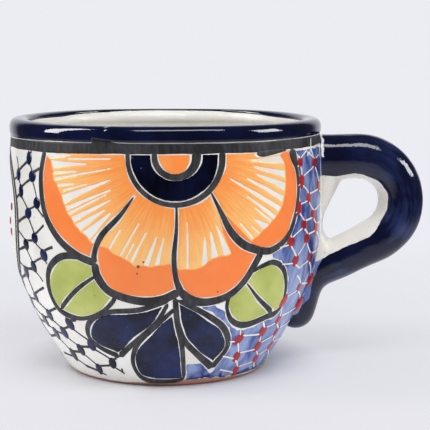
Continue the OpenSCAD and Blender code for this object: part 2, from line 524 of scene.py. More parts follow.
def white_side(points):
    """How far each point of the handle is inside the white side that faces the finger hole."""
    edge = [(40, 62.6), (52.7, 62.8), (57, 62.7), (62.4, 63.5), (66.8, 62.3), (70.8, 59.9), (72.9, 55.9),
            (72.5, 51.9), (70.6, 47.5), (66.9, 43.1), (63.5, 41.3), (58.3, 38.9), (53.9, 36.9),
            (51.1, 35.1), (40, 30)]
    edge = smooth_line(edge, 6) * mm
    flat = points[:, [0, 2]]
    far = np.full(len(flat), 1.0)
    inside = np.zeros(len(flat), bool)
    for start, end in zip(edge, np.roll(edge, -1, axis=0)):
        way = end - start
        far = np.minimum(far, np.linalg.norm(from_segment(flat, start, end)[1], axis=1))
        crosses = (start[1] > flat[:, 1]) != (end[1] > flat[:, 1])
        slope = way[0] / (way[1] if way[1] else 1e-12)
        inside ^= crosses & (flat[:, 0] < start[0] + (flat[:, 1] - start[1]) * slope)
    ragged = 0.18 * mm * wander(points, 7 * mm, 4) + 0.07 * mm * wander(points, 2 * mm, 5)
    return np.where(inside, far, -far) + ragged


def washed_side(points):
    """How far each point of the tail lies beyond the ragged line where the wash laps over its cobalt."""
    heights = np.array([13, 17.2, 22.6, 27.6, 33.3, 38, 60]) * mm
    reach = np.array([34, 43.2, 47.2, 48.2, 50.2, 52.2, 51]) * mm
    ragged = 0.25 * mm * wander(points, 4 * mm, 6) + 0.1 * mm * wander(points, 1.5 * mm, 7)
    return np.interp(points[:, 2], heights, reach) - points[:, 0] + ragged


def points_of(mesh, kind="vertices", name="co"):
    flat = np.empty(len(getattr(mesh, kind)) * 3)
    getattr(mesh, kind).foreach_get(name, flat)
    return flat.reshape(-1, 3)


def glaze_skin():
    """The skin of a fired glaze: slow waves where it ran, a fine orange peel, pinholes and dark specks."""
    gives = {"Mottle": "Float", "Streak": "Float", "Speck": "Float", "Height": "Float"}
    takes = {"Wave scale": "Float", "Peel scale": "Float"}
    tree, given, end = start_tree("glaze skin", "ShaderNodeTree", takes, gives)
    spot = place(tree, "ShaderNodeTexCoord")["Object"]
    wave = noise(tree, spot, given["Wave scale"], 3)
    peel = noise(tree, spot, given["Peel scale"], 2)
    brushed = place(tree, "ShaderNodeMapping", {"Vector": spot, "Scale": (1, 1, 0.25)})
    streak = noise(tree, brushed[0], 700, 4)
    holes = place(tree, "ShaderNodeTexVoronoi", {"Vector": spot, "Scale": 420})
    lucky = parts_of(tree, holes["Color"])[0].work("GREATER_THAN", 0.9)
    small = holes["Distance"].work("LESS_THAN", 0.09)
    speck = lucky * small
    join(tree, wave, end.inputs["Mottle"])
    join(tree, streak, end.inputs["Streak"])
    join(tree, speck, end.inputs["Speck"])
    join(tree, wave * 3 + peel * 0.35 - speck * 0.3, end.inputs["Height"])
    return tree


skin_of_glaze = glaze_skin()


def skin_on(tree, wave_scale):
    return use_tree(tree, skin_of_glaze, "ShaderNodeGroup", **{"Wave scale": wave_scale, "Peel scale": 900})


def mark_of(tree, name):
    return place(tree, "ShaderNodeAttribute", attribute_name=name)["Fac"]


def glaze(name, pooled, thin, roughness, speck, streaks=0.0, depth=0.12 * mm, gloss=0.3):
    """A glossy fired glaze that goes from its pooled to its thin colour, with specks of another."""
    material, tree, shader = new_material(name, roughness, gloss)
    skin = skin_on(tree, 95)
    cloud = (skin["Mottle"] - 0.5) * (3.2 * (1 - streaks))
    brush = (skin["Streak"] - 0.5) * (4 * streaks)
    tone = (cloud + brush + 0.4).clipped()
    base = blend_colour(tree, tone, pooled, thin)
    base = blend_colour(tree, skin["Speck"], base, speck)
    join(tree, base, shader.inputs["Base Color"])
    dullness = skin["Streak"] * (0.5 * roughness) + 0.75 * roughness
    join(tree, dullness, shader.inputs["Roughness"])
    raise_skin(tree, shader, skin["Height"], depth)
    return material


def mend_faces(mesh):
    mesh.validate()
    mesh.shade_smooth()


def brushed_cobalt():
    """Cobalt glaze brushed along the bar: dark where it is thick, paler blue where the brush ran out of
    paint. The pale streaks grow stronger along the bar towards the loop and the lower arm, partly as painted
    reflection of the table.
    """
    material, tree, shader = new_material("cobalt glaze on the handle", 0.08, navy_gloss)
    skin = skin_on(tree, 95)
    spot = place(tree, "ShaderNodeTexCoord")["Object"]
    _, side, _ = parts_of(tree, spot)
    run = mark_of(tree, "run")
    bristles = vector(tree, run * 90, mark_of(tree, "rise") * 620, side * 620)
    streaks = noise(tree, bristles, 1, 4, Roughness=0.6)
    dry_streaks_and_sheen = (streaks - 0.5) * 2.4 + (noise(tree, spot, 75, 2) - 0.56) * 4
    # the streaks grow stronger along the bar, so the loop and the lower arm come out paler: partly real
    # brushwork, partly painted reflection of the table
    dry_streaks_and_sheen = ((dry_streaks_and_sheen + 0.12) * (run * 16 - 0.1).most(0.2).least(0.9)).clipped()
    base = blend_colour(tree, (skin["Mottle"] - 0.3).clipped(), navy, cobalt)
    join(tree, blend_colour(tree, dry_streaks_and_sheen, base, dry_cobalt_and_sheen), shader.inputs["Base Color"])
    raise_skin(tree, shader, skin["Height"], 0.12 * mm)
    return material


def along_the_bar(points):
    """For each point of the handle, how far along the bar it is and how far off its middle line, outwards."""
    line = np.array(bar_line())[:, :2]
    flat = points[:, [0, 2]]
    apart = np.full(len(flat), 1.0)
    run = np.zeros(len(flat))
    rise = np.zeros(len(flat))
    before = 0
    for start, end in zip(line, line[1:]):
        way = end - start
        length = np.linalg.norm(way)
        share, off = from_segment(flat, start, end)
        far = np.linalg.norm(off, axis=1)
        closer = far < apart
        apart = np.where(closer, far, apart)
        run = np.where(closer, before + share * length, run)
        rise = np.where(closer, (way[0] * off[:, 1] - way[1] * off[:, 0]) / length, rise)
        before += length
    return run, rise


blue_handle_glaze = brushed_cobalt()
white_handle_glaze = glaze("white glaze on the handle", tin_white, thin_white, 0.16, (0.3, 0.22, 0.16, 1))
handle = new_line_piece("handle_clay", [bar_line(), root_line()])
shape(handle, rope, {"Sides": 40, "Material": red_clay})
blended = handle.modifiers.new("blended by hand", "REMESH")
blended.mode = "VOXEL"
blended.voxel_size = voxel
wiped = handle.modifiers.new("wiped smooth", "SMOOTH")
wiped.iterations = 70
make_plain(handle)

surface = points_of(handle.data)
outward = points_of(handle.data, "vertex_normals", "vector")
lumps = 0.12 * mm * wander(surface, 16 * mm, 2) + 0.03 * mm * wander(surface, 6 * mm, 3)
coat = surface + outward * (0.25 * mm + lumps)[:, None]
triangles = [tuple(face.vertices) for face in handle.data.polygons]
root_scratch = np.where(coat[:, 2] > 69 * mm, 0.4 * mm - np.abs(washed_side(coat)), -1)
white_field = np.maximum(white_side(coat), root_scratch)
wash_field_of_tail = np.minimum(washed_side(coat), -white_field)
blue_field = np.minimum(-white_field, -washed_side(coat))
for name, field, material, node, slot in (
        ("handle_blue", blue_field, blue_handle_glaze, "handle_blue_glaze", "cobalt_glaze"),
        ("handle_white", white_field, white_handle_glaze, "handle_white_glaze", "white_glaze")):
    rows, faces = trim(np.column_stack([coat, *along_the_bar(coat)]), triangles, field)
    side = new_piece(name, rows[:, :3], (), faces)
    mark(side, "run", rows[:, 3])
    mark(side, "rise", rows[:, 4])
    mend_faces(side.data)
    side.data.materials.append(material)
    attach(side, "root")
    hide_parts(node)
handle.data.vertices.foreach_set("co", (surface - outward * glaze_shy).ravel())
handle.data.materials.clear()
handle.data.materials.append(red_clay)
mend_faces(handle.data)
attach(handle, "root")
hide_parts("handle")

# Wall glaze: white tin glaze that the whole cup was dipped in, wiped off the foot with a sponge, so it
# ends in an uneven line just above the table.
glaze_lift = 0.15 * mm
foot_edge_z = 0.8 * mm
under_roll_z = 78.0 * mm
edge_reach = 0.45 * mm
edge_sink = 0.15 * mm
bare_turn = math.radians(16)
lap_turn = math.radians(25.5)
lap_reach = math.radians(14)


def wall_surface():
    """A place on the outer wall from its turn from the front, its height and its lift off the clay."""
    takes = {"Turn": "Float", "Height": "Float", "Lift": "Float"}
    tree, given, end = start_tree("wall surface", "GeometryNodeTree", takes, {"Position": "Vector"})
    height = given["Height"]
    low = 1 - height.least(shoulder_z) / shoulder_z
    belly = foot_r + (wall_r - foot_r) * (1 - low * low).most(0) ** belly_turn
    up = (height - shoulder_z).most(0) / (neck_z - shoulder_z)
    out = belly + (neck_r - wall_r) * up * up + given["Lift"]
    turn = given["Turn"]
    ideal = vector(tree, out * turn.sin(), out * turn.cos() * -1, height)
    real = use_tree(tree, thrown, "GeometryNodeGroup", Position=ideal)
    join(tree, real[0], end.inputs["Position"])
    return tree


on_wall = wall_surface()


def unevenness(tree, turn, scale, seed):
    """An uneven value between -1 and 1 that goes round the cup and meets itself."""
    ring = vector(tree, turn.cos() * scale, turn.sin() * scale, seed)
    return noise(tree, ring, 1, 3) * 2 - 1


def round_grid(tree, given):
    """A grid unrolled round the cup. Returns it, each point's turn and share across, and how near the
    point is to the lap in the brushwork and to the far left."""
    grid = place(tree, "GeometryNodeMeshGrid", {"Size X": 2 * math.pi, "Size Y": 1,
                                               "Vertices X": given["Columns"] + 1,
                                               "Vertices Y": given["Rows"] + 1})
    turn, share, _ = parts_of(tree, place(tree, "GeometryNodeInputPosition")[0])
    lap = 1 - ((turn + lap_turn) / lap_reach).work("ABSOLUTE")
    lap = lap.most(0) * turn.work("GREATER_THAN", -lap_turn)
    left = ((turn.sin() * -1 - 0.3) / 0.7).most(0)
    return grid[0], turn, share + 0.5, lap, left


def coat_on_the_wall():
    """A coat round the wall between two heights, with uneven edges that sink into what lies under it."""
    takes = {"Low": "Float", "High": "Float", "Uneven low": "Float", "Uneven high": "Float",
             "Lap": "Float", "Left drop": "Float", "Bare patch": "Float", "Lift": "Float", "Seed": "Float",
             "Columns": "Int", "Rows": "Int", "Material": "Material"}
    tree, given, end = start_shape("coat on the wall", takes)
    grid, turn, share, lap, left = round_grid(tree, given)
    low = given["Low"] + given["Uneven low"] * unevenness(tree, turn, 7, given["Seed"])
    low = low + given["Bare patch"] * (turn - bare_turn).cos().most(0) ** 14
    high = given["High"] + given["Uneven high"] * unevenness(tree, turn, 5, given["Seed"] + 9)
    high = high + given["Lap"] * lap * lap
    low = low - given["Left drop"] * 0.75 * left
    high = high - given["Left drop"] * left * left * left
    height = low + (high - low) * share
    room = (height - low).least(high - height) / edge_reach
    rise = room.least(1).work("SQRT")
    lift = (given["Lift"] + edge_sink) * rise - edge_sink
    spot = use_tree(tree, on_wall, "GeometryNodeGroup", Turn=turn, Height=height, Lift=lift)
    return close_round(tree, end, grid, spot[0], given["Material"])


wall_coat = coat_on_the_wall()
white_glaze = glaze("white tin glaze", tin_white, thin_white, 0.15, (0.3, 0.22, 0.16, 1))
wall_glaze = new_piece("white_wall_glaze", [(0, 0, 0)])
shape(wall_glaze, wall_coat, {"Low": foot_edge_z, "High": under_roll_z, "Uneven low": 0.6 * mm,
                              "Bare patch": 1.4 * mm, "Lift": glaze_lift, "Seed": 3.0,
                              "Columns": 360, "Rows": 150, "Material": white_glaze})
make_plain(wall_glaze)
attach(wall_glaze, "root")
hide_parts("wall_glaze")

# Liner: the same glaze poured round inside the cup and out again. It is creamier than the wall's, and
# the ridges that the potter's fingers left show through it.
liner_start = 96


def liner_profile():
    roll = [lip(angle, 0.12 * mm) for angle in range(liner_start, 211, 6)]
    return roll + inside_line(glaze_lift)[1:]


liner_glaze = glaze("cream liner glaze", (0.78, 0.765, 0.72, 1), (0.74, 0.72, 0.66, 1), 0.34,
                    (0.28, 0.2, 0.13, 1))
liner = draw_profile("cream_liner", liner_profile())
shape(liner, turned, {"Columns": 180, "Ridge depth": 0.12 * mm, "Ridge pitch": 5.5 * mm,
                      "Material": liner_glaze})
make_plain(liner)
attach(liner, "root")
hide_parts("liner_glaze")

# Rim line: a black band brushed under the lip in one turn of the wheel. Its ends overlap at the front
# left, where the second pass sits a little lower.
charcoal = (0.023, 0.023, 0.025, 1)
charcoal_thin = (0.06, 0.06, 0.065, 1)
band_lift = 0.24 * mm


def line_glaze(name, pooled, thin, roughness):
    return glaze(name, pooled, thin, roughness, (0.25, 0.24, 0.22, 1), 0.6, 0.05 * mm, 0.12)


black_line = line_glaze("brushed black line", charcoal, charcoal_thin, 0.42)
rim_band = new_piece("black_rim_band", [(0, 0, 0)])
shape(rim_band, wall_coat, {"Low": 74.0 * mm, "High": 77.6 * mm, "Uneven low": 0.35 * mm,
                            "Uneven high": 0.15 * mm, "Lap": 1.2 * mm, "Left drop": 1.2 * mm,
                            "Lift": band_lift, "Seed": 12.0, "Columns": 720, "Rows": 12,
                            "Material": black_line})
make_plain(rim_band)
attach(rim_band, "root")
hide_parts("rim_line")

# Rim glaze: cobalt glaze laid thickly over the rolled lip with a loaded brush, pooled on the outer side
# and ending in an uneven line just inside the mouth.
roll_start = -27
roll_end = 150
nick_turn = math.radians(21.5)
nick_reach = math.radians(1.6)


def glazed_lip():
    """A coat over the roll between two roll angles, uneven along its inner edge."""
    takes = {"Start": "Float", "End": "Float", "Uneven": "Float", "Lift": "Float", "Pool": "Float",
             "Squareness": "Float", "Columns": "Int", "Rows": "Int", "Material": "Material"}
    tree, given, end = start_shape("glazed lip", takes)
    grid, turn, share, lap, left = round_grid(tree, given)
    low = given["Start"] + given["Uneven"] * 0.4 * unevenness(tree, turn, 6, 2.0) + 0.35 * lap * lap
    low = low - 0.45 * left * left * left
    thin = ((turn.cos() * -1 - 0.6) / 0.4).most(0)
    high = given["End"] - 0.55 * thin + given["Uneven"] * unevenness(tree, turn, 5, 5.0)
    roll = low + (high - low) * share
    room = (share.least(1 - share) * 14).least(1).work("SQRT")
    pool = given["Pool"] * (1 + unevenness(tree, turn, 3, 8.0)) * (share * math.pi).sin()
    sides = roll.cos().work("ABSOLUTE") ** given["Squareness"]
    crown = roll.sin().work("ABSOLUTE") ** given["Squareness"]
    fullness = (sides + crown) ** (-1 / given["Squareness"])
    out = (roll_r + (given["Lift"] + 0.2 * mm) * room - 0.2 * mm + pool) * fullness
    far = (roll_mid + out * roll.cos()).most(roll.work("LESS_THAN", 0) * (neck_r + 0.42 * mm))
    nick = 1 - ((turn + nick_turn) / nick_reach).work("ABSOLUTE")
    nick = nick.most(0) * (share * math.pi).sin() * (0.35 * mm)
    ideal = vector(tree, far * turn.sin(), far * turn.cos() * -1, roll_z + out * roll.sin() - nick)
    real = use_tree(tree, thrown, "GeometryNodeGroup", Position=ideal)
    return close_round(tree, end, grid, real[0], given["Material"])


rim_blue = glaze("cobalt glaze on the rim", navy, rim_cobalt, 0.06, (0.05, 0.07, 0.2, 1), 0.0, 0.06 * mm,
                 navy_gloss)
rim_glaze = new_piece("cobalt_rim", [(0, 0, 0)])
shape(rim_glaze, glazed_lip(), {"Start": math.radians(roll_start), "End": math.radians(roll_end),
                                "Uneven": math.radians(7), "Lift": 0.28 * mm, "Pool": 0.04 * mm,
                                "Squareness": 2.7, "Columns": 720, "Rows": 36, "Material": rim_blue})
make_plain(rim_glaze)
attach(rim_glaze, "root")
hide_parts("rim_glaze")

# Outlines: the flower, its leaves and its stem drawn on the white glaze with a loaded black brush, the
# same on the back. Points are a turn from the front in degrees, a height and a width in millimetres.
eye_turn = 3.2
eye_z = 73.8
outline_stops = {
    "petal 1": [(-46.4, 74.4, 1.8), (-48.2, 66, 2.0), (-46.2, 56, 2.1), (-40, 48.5, 2.2), (-32, 43.6, 2.4),
                (-25.2, 41.5, 2.3)],
    "split 1": [(-10.7, 61.8, 0.5), (-15.6, 56, 1.4), (-22, 50, 1.8), (-24.8, 44.5, 1.7), (-25, 41.5, 2.1)],
    "petal 2": [(-25, 41.5, 2.3), (-24.2, 37, 2.8), (-20, 32.5, 2.6), (-10, 30.1, 2.6), (-2, 30.6, 2.6),
                (4.2, 33, 2.6)],
    "split 2": [(3.4, 59.6, 0.6), (3.3, 52, 1.0), (2.5, 44, 1.5), (3.1, 37.6, 1.6), (5, 32.8, 2.3)],
    "petal 3": [(4.5, 33.4, 2.4), (8.5, 30.5, 2.8), (14.5, 29.4, 2.5), (22, 30.8, 2.4), (28, 35, 2.2),
                (34.4, 44.2, 2.4)],
    "split 3": [(14.9, 63.1, 0.5), (18.4, 57, 1.4), (22, 51, 2.2), (27, 46.7, 2.5), (34, 44.2, 2.4)],
    "petal 4": [(33, 44.4, 2.4), (39, 44.1, 2.2), (46, 47.2, 2.0), (50.5, 53, 1.7), (53, 61, 1.6),
                (52.4, 67.6, 1.8), (50.9, 71.2, 3.2), (50, 73.4, 3.4), (49.9, 74.4, 2.8)],
    "mark by petal 4": [(32.5, 74, 1.2), (35, 73.7, 1.9), (39, 73.9, 1.6), (46.7, 74.4, 0.8)],
    "left leaf": [(-30, 43.2, 1.9), (-38.5, 42.5, 2.2), (-45.5, 38, 2.0), (-48.5, 31.5, 1.9),
                  (-47.5, 25.8, 2.0), (-43.5, 23.4, 2.2), (-35, 22.7, 1.4), (-26, 25.2, 1.3),
                  (-20, 29.2, 1.4), (-18.4, 32, 1.3)],
    "left vein": [(-25, 37.5, 0.9), (-33.5, 32.6, 1.4), (-45, 24.8, 1.4)],
    "right leaf": [(31, 37.9, 1.0), (35, 39.4, 1.4), (40.3, 40.1, 1.7), (46, 37.3, 1.8), (50, 31.5, 1.5),
                   (51.5, 25.5, 1.4), (49.3, 22.5, 2.2), (43.8, 21.8, 2.2), (33, 20.3, 2.2),
                   (26, 22.5, 1.7), (22.8, 27, 1.2), (22.8, 31, 1.4)],
    "right vein": [(29.2, 34.6, 0.4), (36.3, 28.7, 1.2), (46, 23, 1.8)],
    "left blue leaf, low": [(0.5, 29.3, 1.2), (-4, 23, 1.6), (-12, 17, 1.6), (-22, 10.4, 2.2)],
    "left blue leaf, high": [(-22, 10.4, 2.2), (-31, 13.2, 1.8), (-34.6, 17, 1.9), (-31, 22.3, 1.8),
                             (-22, 25.9, 1.6), (-10, 27.2, 1.7), (1, 30.4, 1.4)],
    "middle blue leaf": [(3.2, 27.8, 1.2), (-4.4, 21.7, 1.7), (-12.3, 15.4, 1.8), (-16, 9, 1.8),
                         (-14.6, 4.2, 1.8), (-10, 2.1, 1.8), (-2, 1.8, 1.5), (5, 2, 1.4), (8.8, 2.8, 1.3)],
    "stem": [(3, 31.2, 1.8), (4, 23, 2.0), (6.3, 15, 1.9), (8.8, 2.6, 1.8)],
    "right blue leaf, high": [(4, 30.4, 1.5), (15, 25.2, 1.9), (23.5, 19.8, 2.2), (27.4, 13, 2.2),
                              (22.6, 6, 2.8)],
    "right blue leaf, low": [(22.6, 6, 2.8), (14, 11.2, 2.2), (7.2, 16.7, 2.0), (4, 23.5, 1.4)],
}
line_lift = 0.24 * mm
line_flatness = 0.1
back_squeeze = 0.97


def across(turn):
    """The way round the wall from the front to a turn in degrees."""
    return math.radians(turn) * wall_r


def on_paper(stops):
    """Rows of turn, height and width as rows of metres on the unrolled wall, with half the width."""
    rows = np.array(stops, float)
    return np.column_stack([np.radians(rows[:, 0]) * wall_r, rows[:, 1] * mm, rows[:, 2] * mm / 2])


def ring_stops(radius, first, last, widths):
    """A ring round the flower's eye, from one turn of the brush to another, with three widths."""
    stops = []
    for share in np.linspace(0, 1, 13):
        angle = math.radians(first + (last - first) * share)
        out = math.degrees(radius * mm * math.cos(angle) / wall_r)
        width = np.interp(share, (0, 0.5, 1), widths)
        stops.append((eye_turn + out, eye_z + radius * math.sin(angle), width))
    return stops


outline_stops["outer ring"] = ring_stops(14.4, 176, 364, (1.3, 1.5, 2.1))
outline_stops["inner ring"] = ring_stops(6.3, 172, 368, (1.7, 1.9, 2.9))
outlines = {name: smooth_line(on_paper(stops), 9) for name, stops in outline_stops.items()}


def round_the_back(rows):
    """The same rows on the back of the cup, mirrored so that the handle's side stays its own."""
    turned_rows = rows.copy()
    turned_rows[:, 0] = math.pi * wall_r - rows[:, 0] * back_squeeze
    return turned_rows


def wrapped(tree, geometry, flatness, lift):
    """Nodes that lay flat painting, drawn on the unrolled wall, round the cup."""
    x, up, off = parts_of(tree, place(tree, "GeometryNodeInputPosition")[0])
    lift = off * flatness + lift
    spot = use_tree(tree, on_wall, "GeometryNodeGroup", Turn=x / wall_r, Height=up, Lift=lift)
    laid = place(tree, "GeometryNodeSetPosition", {"Geometry": geometry, "Position": spot[0]})
    return laid[0]


def brushed_lines():
    """Lines of paint along paths on the unrolled wall, flat, as wide as their points say."""
    takes = {"Geometry": "Geometry", "Sides": "Int", "Flatness": "Float", "Lift": "Float",
             "Material": "Material"}
    tree, given, end = start_shape("brushed lines", takes)
    strokes = round_rope(tree, given["Geometry"], given["Sides"])
    laid = wrapped(tree, strokes, given["Flatness"], given["Lift"])
    return finish_tree(tree, end, laid, given["Material"])


def taper(line, ends=0.35):
    """Brings a stroke's two ends to a rounded point."""
    rows = line.copy()
    steps = np.linalg.norm(np.diff(rows[:, :2], axis=0), axis=1)
    run = np.concatenate([[0], np.cumsum(steps)])
    room = np.minimum(run, run[-1] - run) / (2 * ends * mm)
    rows[:, 2] *= np.sqrt(np.clip(room, 0.04, 1))
    return rows


def lay_lines(name, lines, flatness, lift, material):
    piece = new_line_piece(name, lines, 0)
    shape(piece, stroke_tree, {"Sides": 10, "Flatness": flatness, "Lift": lift, "Material": material})
    make_plain(piece)
    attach(piece, "root")


stroke_tree = brushed_lines()
outline_black = line_glaze("black outline enamel", (0.026, 0.026, 0.028, 1), (0.07, 0.07, 0.075, 1), 0.4)
front_lines = [taper(line) for line in outlines.values()]
lay_lines("flower_outlines", front_lines + [round_the_back(line) for line in front_lines],
          line_flatness, line_lift, outline_black)

# Petals and leaves: coloured enamels flooded inside the outlines with a soft brush, each kept a hair
# short of its outline so that a white line shows between them.
paper_step = 0.28 * mm
paper_left = across(-95)
paper_right = across(93)
paper_low = 1.5 * mm
paper_high = 74.3 * mm
paint_top = 74.05 * mm
halo = 0.24 * mm
columns = np.arange(paper_left, paper_right, paper_step)
levels = np.arange(paper_low, paper_high, paper_step)
paper = np.array([(x, up) for x in columns for up in levels])


def clear_of(places, lines):
    """How far each place is from the edge of the nearest line, less than zero inside one."""
    room = np.full(len(places), 1.0)
    for line in lines:
        for start, end in zip(line, line[1:]):
            share, off = from_segment(places, start[:2], end[:2])
            room = np.minimum(room, np.hypot(*off.T) - start[2] - share * (end[2] - start[2]))
    return room


def paper_faces():
    """The unrolled wall as small triangles, with the diagonals turned about so that no grain shows."""
    deep = len(levels)
    faces = []
    for i in range(len(columns) - 1):
        for j in range(deep - 1):
            a, b, c, d = i * deep + j, (i + 1) * deep + j, (i + 1) * deep + j + 1, i * deep + j + 1
            faces += [(a, b, c), (a, c, d)] if (i + j) % 2 else [(a, b, d), (b, c, d)]
    return np.array(faces)


triangles_of_paper = paper_faces()


def flooded(open_paper, turn, height):
    """The stretch of open paper that paint set down at this turn and height runs over."""
    deep = len(levels)
    wide = len(columns)
    start = (int((across(turn) - paper_left) / paper_step), int((height * mm - paper_low) / paper_step))
    wet = np.zeros(len(open_paper), bool)
    edge = deque([start])
    while edge:
        i, j = edge.popleft()
        spot = i * deep + j
        if not (0 <= i < wide and 0 <= j < deep) or wet[spot] or not open_paper[spot]:
            continue
        wet[spot] = True
        edge.extend(((i + 1, j), (i - 1, j), (i, j + 1), (i, j - 1)))
    return wet


outline_room = clear_of(paper, outlines.values())
uneven_halo = halo * (1 + 0.9 * wander(paper, 9 * mm, 21)) + 0.05 * mm * wander(paper, 2.2 * mm, 22)
paint_room = np.minimum(outline_room - uneven_halo, paint_top - paper[:, 1])


def flood(pots, room=paint_room):
    """The field of the paint set down in these pots, above zero where the paper is covered."""
    wet = np.zeros(len(paper), bool)
    for turn, height in pots:
        wet |= flooded(room > 0, turn, height)
    return np.where(wet, room, np.minimum(room, -0.01 * mm))


def lay_enamel(name, field, lift, thick, material, marks=None):
    """Lays flat paint where its field is above zero, front and back, thin at its edges."""
    marks = marks or {}
    rows = np.column_stack([paper, field, *marks.values()])
    near = triangles_of_paper[(field[triangles_of_paper] > 0).any(axis=1)].tolist()
    flat, faces = trim(rows, near, field)
    count = len(flat)
    both = np.vstack([flat, round_the_back(flat)])
    faces = faces + [[i + count for i in reversed(face)] for face in faces]
    off = thick * np.sqrt(np.clip(both[:, 2] / enamel_soft, 0, 1)) - thick * 0.5
    piece = new_piece(name, np.column_stack([both[:, 0], both[:, 1], off]), (), faces)
    for column, trait in enumerate(marks, 3):
        mark(piece, trait, both[:, column])
    shape(piece, paint_tree, {"Lift": lift, "Material": material})
    make_plain(piece)
    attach(piece, "root")


def laid_paint():
    takes = {"Geometry": "Geometry", "Lift": "Float", "Material": "Material"}
    tree, given, end = start_shape("laid paint", takes)
    laid = wrapped(tree, given["Geometry"], 1, given["Lift"])
    return finish_tree(tree, end, laid, given["Material"])


paint_tree = laid_paint()
enamel_lift = glaze_lift + 0.04 * mm
enamel_thick = 0.1 * mm
navy_thick = 0.14 * mm
enamel_soft = 0.5 * mm

eye_place = np.array([across(eye_turn), eye_z * mm])
from_eye = paper - eye_place
eye_far = np.hypot(*from_eye.T)
eye_angle = np.degrees(np.arctan2(from_eye[:, 1], from_eye[:, 0])) % 360
ring_edge = 15.2 * mm
border_stops = np.array([(180, 43.1), (183, 41.2), (190, 40.4), (200, 38.5), (213, 37.8), (226, 36.2),
                         (231, 34.6), (241, 33.9), (249, 34.6), (258, 33.3), (268, 31.1), (271, 33.5),
                         (281, 33.7), (290, 32.7), (300, 33.6), (302, 26), (306, 22), (311, 24),
                         (312, 35.4), (321, 36.5), (332, 39), (340, 39.5), (351, 38.5), (360, 35.3)])
border_far = np.interp(eye_angle, *border_stops.T) * mm + 0.3 * mm * wander(paper, 6 * mm, 31)
along = np.clip((eye_far - ring_edge) / (border_far - ring_edge), 0, 1)

# White slits between the brush strokes: the turn and height of the tip, of the open end, and its width.
slit_stops = [
    (-34.2, 73.5, -43.2, 73.0, 1.6), (-18.9, 72.8, -33.6, 72.4, 0.5), (-27.5, 65.1, -35.6, 63.2, 0.45),
    (-27.6, 71.0, -42.0, 70.6, 1.9), (-31.8, 68.7, -41.5, 68.0, 0.5), (-18.9, 69.9, -40.8, 66.2, 0.6),
    (-32.6, 65.0, -39.1, 64.4, 0.7), (-18.8, 66.6, -36.7, 60.3, 2.4), (-18.8, 63.6, -35.4, 57.5, 1.2),
    (-20.3, 62.2, -34.5, 56.0, 0.7), (-18.7, 60.6, -33.1, 54.2, 1.7), (-20.8, 57.6, -31.1, 51.8, 2.4),
    (-18.7, 56.8, -27.9, 49.4, 3.2), (-21.6, 52.2, -25.3, 47.9, 1.2), (-15.4, 51.9, -18.9, 46.6, 0.6),
    (-9.1, 53.8, -15.2, 44.5, 0.5), (-10.8, 47.9, -13.2, 44.0, 0.4), (-6.7, 51.1, -11.2, 43.3, 0.8),
    (-3.2, 50.0, -6.6, 41.8, 1.4), (-0.9, 49.6, -3.3, 41.0, 1.3), (6.9, 54.2, 7.1, 40.3, 0.6),
    (12.8, 49.8, 12.9, 42.2, 1.6), (14.8, 51.2, 16.4, 43.4, 2.0), (16.9, 52.8, 20.8, 44.4, 2.2),
    (30.2, 72.0, 44.6, 71.2, 1.7), (34.5, 71.9, 41.3, 71.9, 1.5), (31.3, 70.0, 45.7, 66.8, 2.0),
    (32.2, 67.7, 45.2, 63.1, 2.3), (28.5, 66.6, 44.2, 59.3, 1.7), (22.0, 66.7, 42.4, 56.4, 1.5),
    (28.4, 61.2, 40.0, 54.0, 1.3), (31.4, 57.5, 38.3, 52.9, 0.9), (31.0, 54.1, 35.9, 51.4, 2.3),
    (29.9, 52.1, 33.0, 49.8, 0.7), (25.3, 53.4, 30.5, 48.4, 0.7)]


def white_slits():
    """The slits as tapering lines on the unrolled wall, run on a little way under the border."""
    lines = []
    for tip_turn, tip_z, end_turn, end_z, width in slit_stops:
        mid_turn = tip_turn * 0.45 + end_turn * 0.55
        mid_z = tip_z * 0.45 + end_z * 0.55
        tip, mid, end = on_paper([(tip_turn, tip_z, 0.34), (mid_turn, mid_z, width * 0.55 + 0.15),
                                  (end_turn, end_z, width)])
        past = end + (end - tip) * (1.2 * mm / np.linalg.norm(end[:2] - tip[:2]))
        lines.append(np.array([tip, mid, past]))
    return lines


petal_room = flood([(-35, 65), (-8, 45), (15, 45), (40, 60)])
in_border = eye_far - border_far
stroke_edge = 0.04 * mm * wander(paper, 5 * mm, 32) + 0.02 * mm * wander(paper, 1.6 * mm, 33)
petal_field = np.minimum(petal_room, np.maximum(clear_of(paper, white_slits()) + stroke_edge, in_border))


def petal_enamel():
    """Orange enamel: solid by the eye and along the border, thin and streaky in between."""
    material, tree, shader = new_material("orange petal enamel", 0.2)
    skin = skin_on(tree, 120)
    out = mark_of(tree, "along")
    hair = vector(tree, mark_of(tree, "fan") * 1.1, out * 1.6, 0)
    thin = out * 1.1 + (noise(tree, hair, 1, 5, Roughness=0.7) - 0.5) * 2.4 + 0.05
    fan = blend_colour(tree, thin.clipped(), (0.93, 0.28, 0.055, 1), (0.91, 0.52, 0.18, 1))
    cloud = skin["Mottle"]
    rim = blend_colour(tree, cloud, (0.88, 0.195, 0.036, 1), (0.91, 0.265, 0.075, 1))
    base = blend_colour(tree, (mark_of(tree, "border") * 1.6 + (cloud - 0.5)).clipped(), fan, rim)
    join(tree, base, shader.inputs["Base Color"])
    raise_skin(tree, shader, skin["Height"], 0.1 * mm)
    return material


